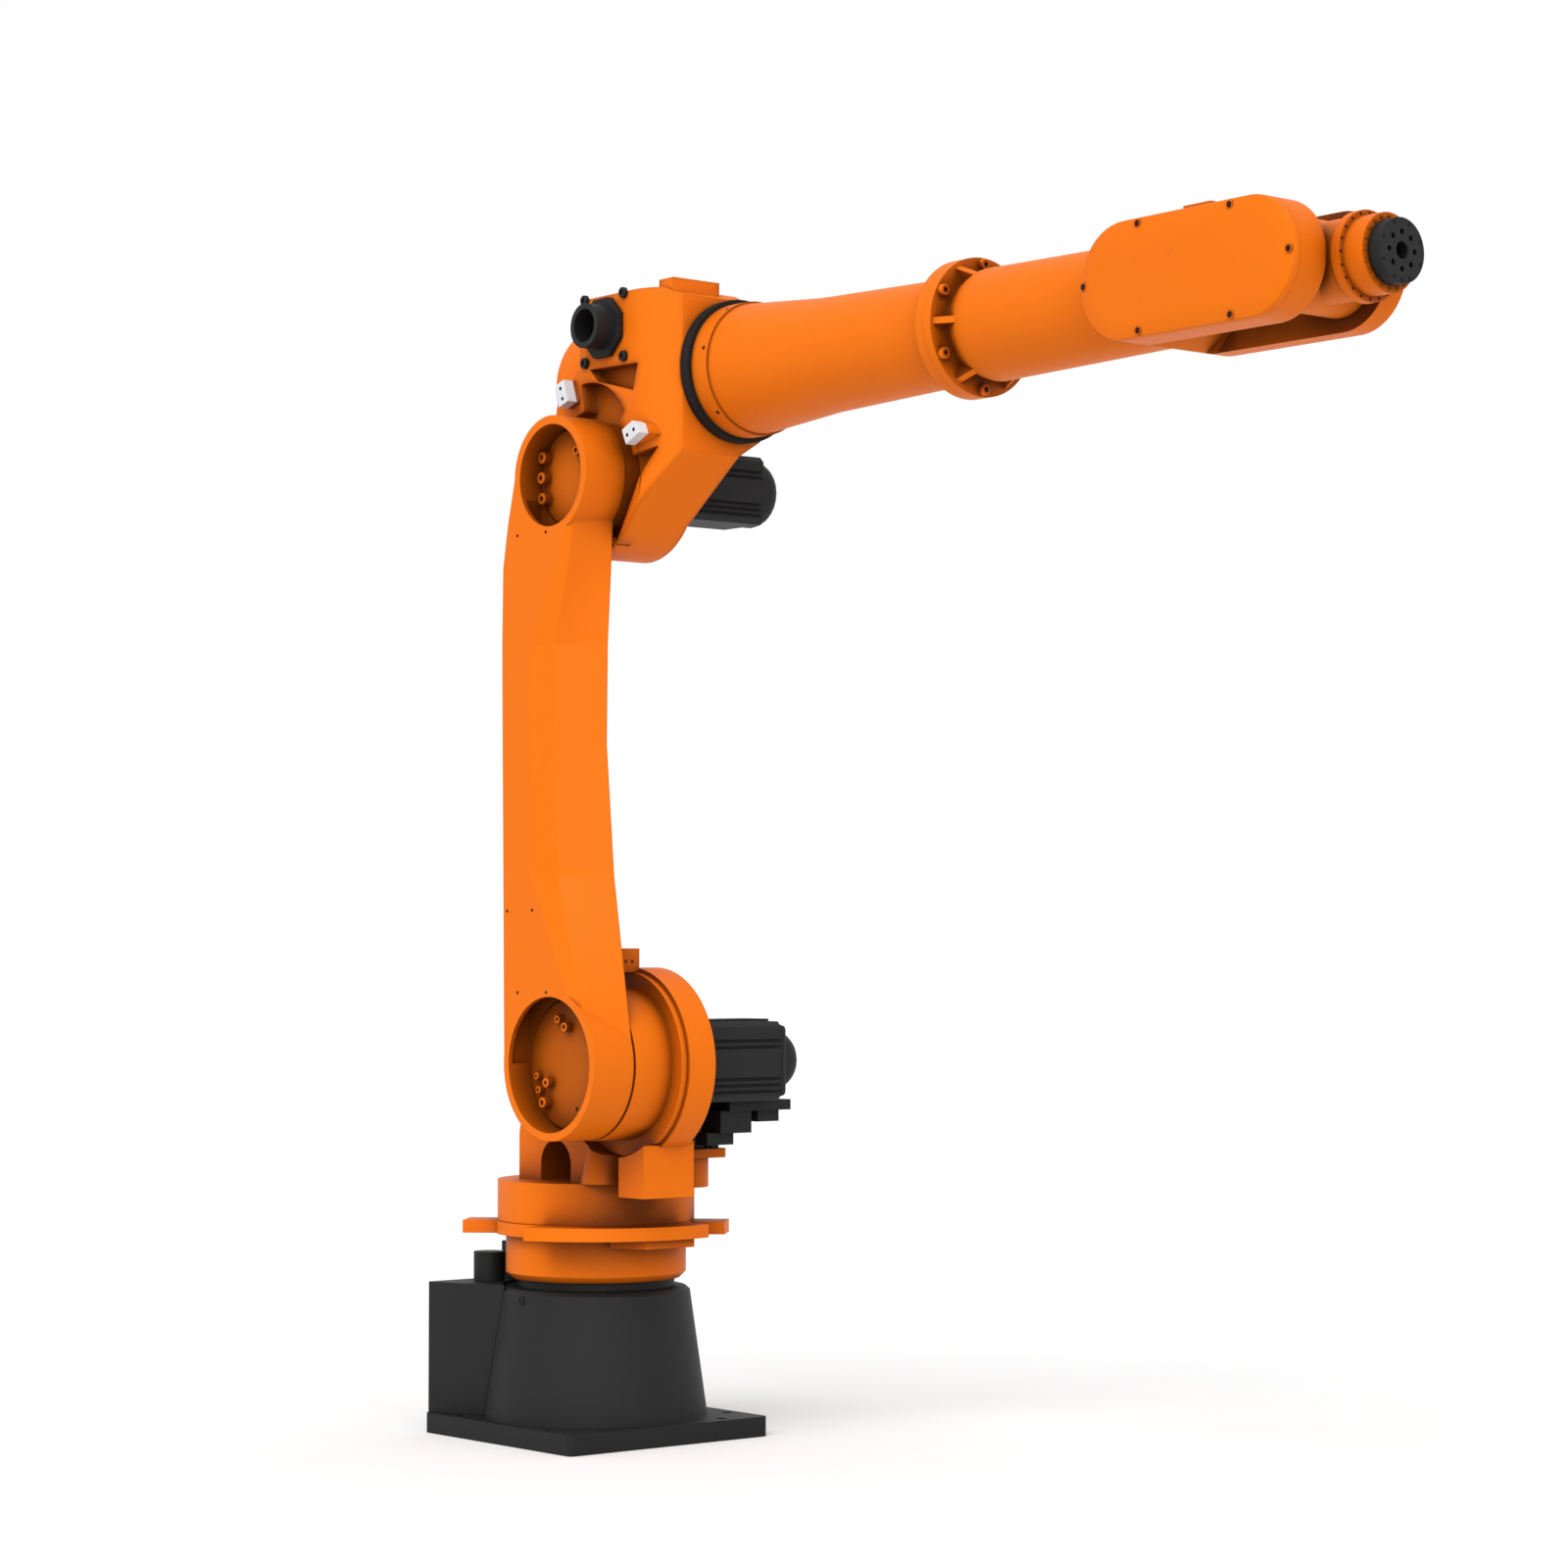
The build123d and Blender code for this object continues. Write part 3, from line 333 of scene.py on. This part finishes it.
# Painted shade for sockets and holes: dark discs set where only the shade inside them is seen
socket_shade = add_material(
    "socket_shade", (0.03, 0.006, 0.002), roughness=0.7, specular=0.2, grain=0.2, mottle=0.1
)
hole_shade = add_material(
    "hole_shade", (0.004, 0.004, 0.004), roughness=0.7, specular=0.2, grain=0.2, mottle=0.1
)
# Two nodes take their own copy of the orange: the elbow housing the one with less painted shade,
# the shoulder hub's disc the darker one
own_finish_and_shade = {"elbow_housing": cast_orange_less_shade, "lower_hub_disc": hub_shaded_orange}
by_slot = {
    "orange_paint": orange_paint,
    "black_paint": black_paint,
    "white_stop": white_stop,
    "black_rubber": black_rubber,
}
for entry in frame["record"]["subparts"]:
    mesh = nodes[entry["node"]].data
    finish = own_finish_and_shade.get(entry["node"], by_slot[entry["material_slot"]])
    mesh.materials.clear()
    mesh.materials.append(finish)
    mesh.polygons.foreach_set("material_index", [0] * len(mesh.polygons))


class Fittings:
    """The screw heads of one body, and dark discs of painted shade in its holes and sockets."""

    def __init__(self, body, name, paint="orange_paint", dark=socket_shade):
        self.heads = Piece(f"{name}_heads", body, by_slot[paint], paint)
        self.holes = Piece(f"{name}_holes", body, dark, "black_rubber")

    def cap_screw(self, place, direction, radius, height):
        """A socket head screw, with a dark disc of painted shade on its socket's floor a little
        below the top.
        """
        placing = facing(place, direction)
        edge = head_edge * radius
        floor = height * (1 - socket_depth_share)
        socket = socket_share * radius
        rows = (
            (radius, 0),
            (radius, height - edge),
            (radius - edge, height),
            (socket, height, 6),
            (socket, floor, 6),
        )
        self.heads.add(turned(rows), placing)
        reach = socket * socket_fill
        self.holes.add(turned(((reach, floor), (reach, floor + hole_rise))), placing)

    def hole(self, place, direction, radius):
        """A plain hole, drawn as a dark disc of painted shade that hardly rises from its face."""
        disc = turned(((radius, 0), (radius * hole_taper, hole_rise)))
        self.holes.add(disc, facing(place, direction))

    def rimmed_hole(self, place, direction, radius, rim, rise):
        """A hole in a low round boss, with a dark disc of painted shade at its floor."""
        placing = facing(place, direction)
        floor = rise * rim_floor_share
        rows = (
            (radius + rim, 0),
            (radius + rim * rim_top_share, rise),
            (radius, rise),
            (radius * bore_taper, floor),
        )
        self.heads.add(turned(rows), placing)
        disc = turned(((radius * bore_fill, floor), (radius * bore_taper, floor + hole_rise)))
        self.holes.add(disc, placing)

    def finish(self):
        for piece in (self.heads, self.holes):
            if piece.points:
                piece.finish()


near = Vector((0, -1, 0))
front = Vector((1, 0, 0))


def around(angle):
    """The direction at an angle round the forearm's axis, from +Y towards +Z."""
    return Vector((0, math.cos(math.radians(angle)), math.sin(math.radians(angle))))


# Bolted discs in the hubs: place from the hub's axis along X and Z, then the head's radius
lower_hub_bolts = (
    (-76, -20, 6),
    (-46, -30, 8),
    (-70, -42, 6.5),
    (-53, -62, 9),
    (3, 60, 8),
    (-18, 72, 7),
)
lower_hub_holes = ((55, -27, 4.5), (58, -57, 4.5), (21, -70, 3.5))
upper_hub_bolts = ((-59, 36, 10), (-61, 3, 10), (-59, -31, 10), (33, 39, 9))
hub_head_height = 15
usual_head_radius = 9

# Small holes in the arm's near face, from the shoulder's and the elbow's axes
lower_arm_holes = ((-113, 245), (-45, 246), (-84, 114), (-7, 115))
upper_arm_holes = ((-88, -90), (-11, -90))
arm_hole_radius = 2.8


def add_arm_fittings():
    arm = Fittings("upper_arm", "arm")
    disc_y = low("lower_hub_disc").y
    for x, z, radius in lower_hub_bolts:
        height = hub_head_height * radius / usual_head_radius
        arm.cap_screw((shoulder.x + x, disc_y, shoulder.z + z), near, radius, height)
    for x, z, radius in lower_hub_holes:
        arm.hole((shoulder.x + x, disc_y, shoulder.z + z), near, radius)
    for x, z, radius in upper_hub_bolts:
        arm.cap_screw((elbow.x + x, disc_y, elbow.z + z), near, radius, hub_head_height)
    face_y = low("upper_arm").y
    for x, z in lower_arm_holes:
        arm.hole((shoulder.x + x, face_y, shoulder.z + z), near, arm_hole_radius)
    for x, z in upper_arm_holes:
        arm.hole((elbow.x + x, face_y, elbow.z + z), near, arm_hole_radius)
    arm.finish()


# Elbow: the inlet pad's screws and the travel stops' holes
pad_screw_reach = 51
pad_screw_radius = 8.5
pad_screw_height = 7
stop_hole_radius = 3.2
stop_hole_offset = 9


def add_elbow_fittings():
    pad = Fittings("elbow", "inlet_pad", paint="black_paint", dark=hole_shade)
    inlet = (low("cable_inlet") + high("cable_inlet")) / 2
    for side in (-1, 1):
        for rise in (-1, 1):
            x, z = inlet.x + side * pad_screw_reach, inlet.z + rise * pad_screw_reach
            place = (x, high("cable_inlet").y, z)
            pad.cap_screw(place, near, pad_screw_radius, pad_screw_height)
    for stop in ("front_stop", "rear_stop"):
        centre = (low(stop) + high(stop)) / 2
        reach = Vector((centre.x - elbow.x, 0, centre.z - elbow.z)).normalized()
        for offset in (-stop_hole_offset, stop_hole_offset):
            place = Vector((centre.x, low(stop).y, centre.z)) + offset * reach
            pad.hole(place, near, stop_hole_radius)
    pad.finish()


# Forearm: small holes round its root by angle, and the bolts of its joint flange
root_screw_angles = (122, 167, 225, 315, 13, 58)
root_screw_radius = 3.4
root_screw_run = 28
root_flange_radius = 107
joint_flange_thickness = 17
joint_bolt_count = 6
joint_bolt_circle = 93
joint_bolt_radius = 9
joint_bolt_height = 9

# The wrist drive's cover: screws at its edge, rounded corners and a raised panel
cover_screw_inset = 9
cover_screw_radius = 5
cover_screw_rim = 1.5
cover_screw_rise = 1.2
cover_screw_shift = 32
cover_screw_lift = 0.9
cover_edge = 5
cover_corner = 1.5
cover_panel_inset = 26
cover_panel_rise = 2.5
cover_panel_round = 3
cover_panel_crown = 0.3

# The front casting: the fork's inside, where painted shade goes, the pad on the near prong's top,
# and where the flange is parted from the rest and turned
fork_reach = 150
fork_half_width = 62.5
top_pad_rear = 132
top_pad_front = 80
top_pad_depth = 44
top_pad_rise = 6
top_pad_sink = 4
top_pad_edge = 1.5
gusset_end = 48
gusset_join = 8
gusset_turn = math.radians(30)


def stadium(rear_x, front_x, z, radius, y):
    """Points round a slot outline in an XZ plane, seen from the near side."""
    points = []
    for centre_x, start in ((front_x, -90), (rear_x, 90)):
        for step in range(turning_steps + 1):
            turn = math.radians(start + 180 * step / turning_steps)
            points.append((centre_x + radius * math.cos(turn), y, z + radius * math.sin(turn)))
    return points


def stacked(outlines):
    """Points and faces of a closed form through outlines with as many points each."""
    count = len(outlines[0])
    faces = []
    for row in range(len(outlines) - 1):
        for step in range(count):
            after = (step + 1) % count
            start, above = row * count, (row + 1) * count
            faces.append((start + step, start + after, above + after, above + step))
    faces.append(tuple(reversed(range(count))))
    faces.append(tuple(range((len(outlines) - 1) * count, len(outlines) * count)))
    return [point for outline in outlines for point in outline], faces


def add_forearm_fittings():
    forearm = Fittings("forearm", "forearm")
    for angle in root_screw_angles:
        centre = Vector((low("rear_forearm").x + root_screw_run, 0, wrist.z))
        place = centre + root_flange_radius * around(angle)
        forearm.hole(place, around(angle), root_screw_radius)
    flange_x = high("rear_forearm").x + joint_flange_thickness
    for index in range(joint_bolt_count):
        angle = 360 / joint_bolt_count * (index + 0.5)
        place = Vector((flange_x, 0, wrist.z)) + joint_bolt_circle * around(angle)
        forearm.cap_screw(place, front, joint_bolt_radius, joint_bolt_height)
    cover_low, cover_high = low("near_wrist_cover"), high("near_wrist_cover")
    cover_radius = (cover_high.z - cover_low.z) / 2
    rear_x = cover_low.x + cover_radius
    screw_reach = cover_radius - cover_screw_inset
    for x, z in (
        (rear_x - screw_reach, 0),
        (rear_x + cover_screw_shift, screw_reach),
        (rear_x + cover_screw_shift, -screw_reach),
        (wrist.x - cover_screw_shift, screw_reach),
        (wrist.x - cover_screw_shift, -screw_reach),
        (wrist.x + screw_reach, 0),
    ):
        place = (x, cover_low.y - cover_screw_lift, wrist.z + z)
        forearm.rimmed_hole(place, near, cover_screw_radius, cover_screw_rim, cover_screw_rise)
    forearm.finish()

    # The cover, with a softened edge and a face that rises to a flat panel
    panel_y = cover_low.y - cover_panel_rise
    rows = (
        (0, cover_high.y),
        (0, cover_low.y + cover_edge),
        (cover_corner, cover_low.y + cover_corner),
        (cover_edge, cover_low.y),
        (cover_panel_inset - cover_panel_round, panel_y),
        (cover_panel_inset, panel_y - cover_panel_crown),
    )
    outlines = [stadium(rear_x, wrist.x, wrist.z, cover_radius - inset, y) for inset, y in rows]
    cover = Piece("wrist_cover", "forearm", orange_paint, "orange_paint")
    cover.add(stacked(outlines))
    cover.finish(replaces=("near_wrist_cover",))


def add_front_forearm():
    """The front forearm, its flange turned so that a gusset stands at the near side, with a
    pad on the near prong's top and painted shade inside the fork: a copy of the orange that
    darkens much more."""
    start = low("front_forearm").x + joint_flange_thickness + gusset_end
    join = start + gusset_join
    form = bmesh.new()
    form.from_mesh(nodes["front_forearm"].data)
    bmesh.ops.remove_doubles(form, verts=form.verts[:], dist=merge_distance)
    for x in (start, join):
        whole = form.verts[:] + form.edges[:] + form.faces[:]
        bmesh.ops.bisect_plane(form, geom=whole, plane_co=(mm * x, 0, 0), plane_no=front)
    between = [face for face in form.faces if start < face.calc_center_median().x / mm < join]
    bmesh.ops.delete(form, geom=between, context="FACES")
    flange = [point for point in form.verts if point.co.x / mm < (start + join) / 2]
    turn = Matrix.Rotation(gusset_turn, 4, "X")
    bmesh.ops.rotate(form, verts=flange, cent=mm * Vector((0, 0, wrist.z)), matrix=turn)
    bmesh.ops.bridge_loops(form, edges=[edge for edge in form.edges if edge.is_boundary])
    piece = Piece("front_forearm_turned", "forearm", orange_paint, "orange_paint")
    piece.add(mesh_form(form, scale=mm))
    form.free()
    near_prong, top = low("front_forearm").y, high("near_wrist_cover").z
    pad_rear = (wrist.x - top_pad_rear, near_prong, top - top_pad_sink)
    pad_front = (wrist.x - top_pad_front, near_prong + top_pad_depth, top + top_pad_rise)
    piece.add(rounded_block(pad_rear, pad_front, top_pad_edge))
    mesh = piece.finish(replaces=("front_forearm",)).data
    # Painted shade: faces inside the fork take the copy of the orange that darkens much more
    mesh.materials.append(fork_shaded_orange)
    for face in mesh.polygons:
        within_prongs = abs(face.center.y) / mm < fork_half_width
        if within_prongs and face.center.x / mm > wrist.x - fork_reach:
            face.material_index = 1


# Wrist: the flange screws and the toothed ring behind the tool flange
flange_screw_count = 20
flange_screw_run = 14
flange_screw_circle = 58
flange_screw_radius = 2.1
ring_screw_count = 20
ring_screw_circle = 49
ring_screw_radius = 2.6
ring_screw_height = 1.6


def add_wrist_fittings():
    case = Fittings("wrist", "wrist_case")
    flange_centre = Vector((low("flange_case").x + flange_screw_run, 0, wrist.z))
    for index in range(flange_screw_count):
        place = flange_centre + flange_screw_circle * around(360 / flange_screw_count * index)
        case.hole(place, front, flange_screw_radius)
    ring_centre = Vector((high("flange_case").x, 0, wrist.z))
    for index in range(ring_screw_count):
        place = ring_centre + ring_screw_circle * around(360 / ring_screw_count * index)
        case.cap_screw(place, front, ring_screw_radius, ring_screw_height)
    case.finish()


# Tool flange: an outer ring of small holes with a dowel hole at the near side
outer_hole_count = 8
outer_hole_circle = 39
outer_hole_radius = 3
dowel_hole_angle = -90


def add_tool_fittings():
    tool = Fittings("tool_flange", "tool_flange", paint="black_paint", dark=hole_shade)
    centre = Vector((high("tool_flange").x, 0, wrist.z))
    angles = [360 / outer_hole_count * (index + 0.5) for index in range(outer_hole_count)]
    for angle in (*angles, dowel_hole_angle):
        tool.hole(centre + outer_hole_circle * around(angle), front, outer_hole_radius)
    tool.finish()


# Turret: single holes in its rear wall and the shoulder stop
wall_hole_place = (-35, -100, 494)
wall_hole_radius = 2.6
shoulder_stop_hole_rows = (-93.5, -80.5)
shoulder_stop_hole_height = 782
shoulder_stop_hole_radius = 2.5

# The lug plate's wide lug, by its two ends round the turret's axis
lug_width = 68
sector_start = math.radians(-69)
sector_end = math.radians(19)
sector_inner_radius = 150
sector_cover = 0.3

# The pedestal's small boss
base_boss_place = (7, -157, 228.5)
base_boss_radius = 4
base_boss_rim = 4
base_boss_rise = 2.5


def add_turret_fittings():
    turret = Fittings("turret", "turret")
    turret.hole(wall_hole_place, near, wall_hole_radius)
    for y in shoulder_stop_hole_rows:
        place = (high("shoulder_stop").x, y, shoulder_stop_hole_height)
        turret.hole(place, front, shoulder_stop_hole_radius)
    turret.finish()


def add_base_fittings():
    base = Fittings("base", "pedestal", paint="black_paint", dark=hole_shade)
    base.rimmed_hole(base_boss_place, near, base_boss_radius, base_boss_rim, base_boss_rise)
    base.finish()


def arc(radius, start, end, z):
    """Points along an arc round the turret's axis."""
    points = []
    for step in range(turning_steps + 1):
        turn = start + (end - start) * step / turning_steps
        points.append((radius * math.cos(turn), radius * math.sin(turn), z))
    return points


def add_plate_sector():
    """The lug plate's wide lug towards the near side and the front, round the narrow one."""
    plate_low, plate_high = low("lug_plate"), high("lug_plate")
    lug_reach = math.sqrt(2) * plate_high.x - lug_width / 2
    outer_radius = math.hypot(lug_reach, lug_width / 2) + sector_cover
    outlines = [
        arc(outer_radius, sector_start, sector_end, z)
        + arc(sector_inner_radius, sector_end, sector_start, z)
        for z in (plate_low.z - sector_cover, plate_high.z + sector_cover)
    ]
    sector = Piece("lug_plate_sector", "turret", orange_paint, "orange_paint")
    sector.add(stacked(outlines))
    sector.finish()


# Rounded ends of the shoulder and elbow motors: a bell housing and a dome on the first, a dome
# and a sensor block on the second
bell_length = 20
bell_edge = 9
shoulder_dome_radius = 50
shoulder_dome_corner = 34
elbow_dome_radius = 56
elbow_dome_corner = 28
sensor_block_half_width = 20
sensor_block_foot = 40
sensor_block_length = 24
sensor_block_edge = 2
corner_steps = 8


def rounded_end(radius, length, corner):
    """Rows of a turned end whose outer corner is a quarter round."""
    rows = [(radius, 0)]
    for step in range(corner_steps + 1):
        turn = math.pi / 2 * step / corner_steps
        out, up = corner * math.cos(turn), corner * math.sin(turn)
        rows.append((radius - corner + out, length - corner + up))
    return rows


def mesh_form(mesh, scale=1):
    """The points, divided by a scale, and the faces of a bmesh."""
    mesh.verts.index_update()
    points = [tuple(point.co / scale) for point in mesh.verts]
    return points, [[point.index for point in face.verts] for face in mesh.faces]


def rounded_block(low_corner, high_corner, edge):
    """A block with rounded edges, as points and faces."""
    block = bmesh.new()
    bmesh.ops.create_cube(block, size=1)
    size = Vector(high_corner) - Vector(low_corner)
    middle = (Vector(high_corner) + Vector(low_corner)) / 2
    for corner in block.verts:
        corner.co = middle + Vector(share * extent for share, extent in zip(corner.co, size))
    bmesh.ops.bevel(
        block, geom=block.edges[:], offset=edge, segments=3, profile=0.5, affect="EDGES"
    )
    form = mesh_form(block)
    block.free()
    return form


def add_motor_ends():
    back = Vector((0, 1, 0))
    end = Piece("j2_motor_end", "turret", black_paint, "black_paint")
    start, finish = low("j2_motor_cap"), high("j2_motor_cap")
    bell_end_y = start.y + bell_length
    end.add(rounded_block(start, (finish.x, bell_end_y, finish.z), bell_edge))
    dome = rounded_end(shoulder_dome_radius, finish.y - bell_end_y, shoulder_dome_corner)
    end.add(turned(dome), facing((shoulder.x, bell_end_y, shoulder.z), back))
    end.finish(replaces=("j2_motor_cap",))
    end = Piece("j3_motor_end", "elbow", black_paint, "black_paint")
    start, finish = low("j3_motor_cap"), high("j3_motor_cap")
    dome = rounded_end(elbow_dome_radius, finish.y - start.y, elbow_dome_corner)
    end.add(turned(dome), facing((elbow.x, start.y, elbow.z), back))
    block_low = (elbow.x - sensor_block_half_width, start.y, elbow.z + sensor_block_foot)
    block_high = (elbow.x + sensor_block_half_width, start.y + sensor_block_length, finish.z)
    end.add(rounded_block(block_low, block_high, sensor_block_edge))
    end.finish(replaces=("j3_motor_cap",))


def add_camera():
    camera = bpy.data.objects.new("camera", bpy.data.cameras.new("camera"))
    bpy.context.scene.collection.objects.link(camera)
    turn, tilt = math.radians(camera_azimuth), math.radians(camera_pitch)
    level = math.cos(tilt)
    look = Vector((-math.sin(turn) * level, math.cos(turn) * level, math.sin(tilt)))
    camera.location = camera_place
    camera.rotation_mode = "QUATERNION"
    camera.rotation_quaternion = look.to_track_quat("-Z", "Y")
    camera.data.lens = camera_lens
    camera.data.sensor_width = camera_sensor
    camera.data.clip_end = camera_reach
    bpy.context.scene.camera = camera


def add_sun(name, direction, strength, softness):
    """A sun that shines from a direction."""
    sun = bpy.data.objects.new(name, bpy.data.lights.new(name, "SUN"))
    bpy.context.scene.collection.objects.link(sun)
    sun.rotation_mode = "QUATERNION"
    sun.rotation_quaternion = (-Vector(direction)).to_track_quat("-Z", "Y")
    sun.data.energy = strength
    sun.data.angle = softness


def seen_directly(tree):
    """A socket that is 1 for what the camera sees, also in a reflection or through glass."""
    path = tree.nodes.new("ShaderNodeLightPath")
    total = path.outputs["Is Camera Ray"]
    for name in ("Is Glossy Ray", "Is Transmission Ray"):
        either = tree.nodes.new("ShaderNodeMath")
        either.operation = "MAXIMUM"
        tree.links.new(total, either.inputs[0])
        tree.links.new(path.outputs[name], either.inputs[1])
        total = either.outputs["Value"]
    return total


def add_floor():
    mesh = bpy.data.meshes.new("floor")
    half = floor_half_width
    corners = [(-half, -half, 0), (half, -half, 0), (half, half, 0), (-half, half, 0)]
    mesh.from_pydata(corners, [], [(0, 1, 2, 3)])
    floor = bpy.data.objects.new("floor", mesh)
    bpy.context.scene.collection.objects.link(floor)
    material = bpy.data.materials.new("floor")
    material.use_nodes = True
    tree = material.node_tree
    shader = tree.nodes["Principled BSDF"]
    shader.inputs["Roughness"].default_value = 1.0
    shader.inputs["Specular IOR Level"].default_value = 0.0
    shade = tree.nodes.new("ShaderNodeMix")
    shade.data_type = "RGBA"
    shade.inputs["A"].default_value = (floor_bounce, floor_bounce, floor_bounce, 1)
    shade.inputs["B"].default_value = (floor_seen, floor_seen, floor_seen, 1)
    seen = seen_directly(tree)
    tree.links.new(seen, shade.inputs["Factor"])
    tree.links.new(shade.outputs["Result"], shader.inputs["Base Color"])
    lift = tree.nodes.new("ShaderNodeMapRange")
    lift.inputs["To Max"].default_value = floor_lift
    tree.links.new(seen, lift.inputs["Value"])
    shader.inputs["Emission Color"].default_value = (1, 1, 1, 1)
    tree.links.new(lift.outputs["Result"], shader.inputs["Emission Strength"])
    mesh.materials.append(material)


def add_surround():
    world = bpy.data.worlds.new("world")
    bpy.context.scene.world = world
    world.use_nodes = True
    tree = world.node_tree
    background = tree.nodes["Background"]
    background.inputs["Color"].default_value = (1, 1, 1, 1)
    strength = tree.nodes.new("ShaderNodeMapRange")
    strength.inputs["To Min"].default_value = surround_light
    strength.inputs["To Max"].default_value = 1.0
    tree.links.new(seen_directly(tree), strength.inputs["Value"])
    tree.links.new(strength.outputs["Result"], background.inputs["Strength"])


bpy.context.scene.view_settings.view_transform = "Standard"
add_arm_fittings()
add_elbow_fittings()
add_forearm_fittings()
add_front_forearm()
add_wrist_fittings()
add_tool_fittings()
add_turret_fittings()
add_plate_sector()
add_base_fittings()
add_motor_ends()
add_camera()
add_floor()
add_surround()
add_sun("key", key_direction, key_strength, key_softness)
add_sun("fill", fill_direction, fill_strength, fill_softness)
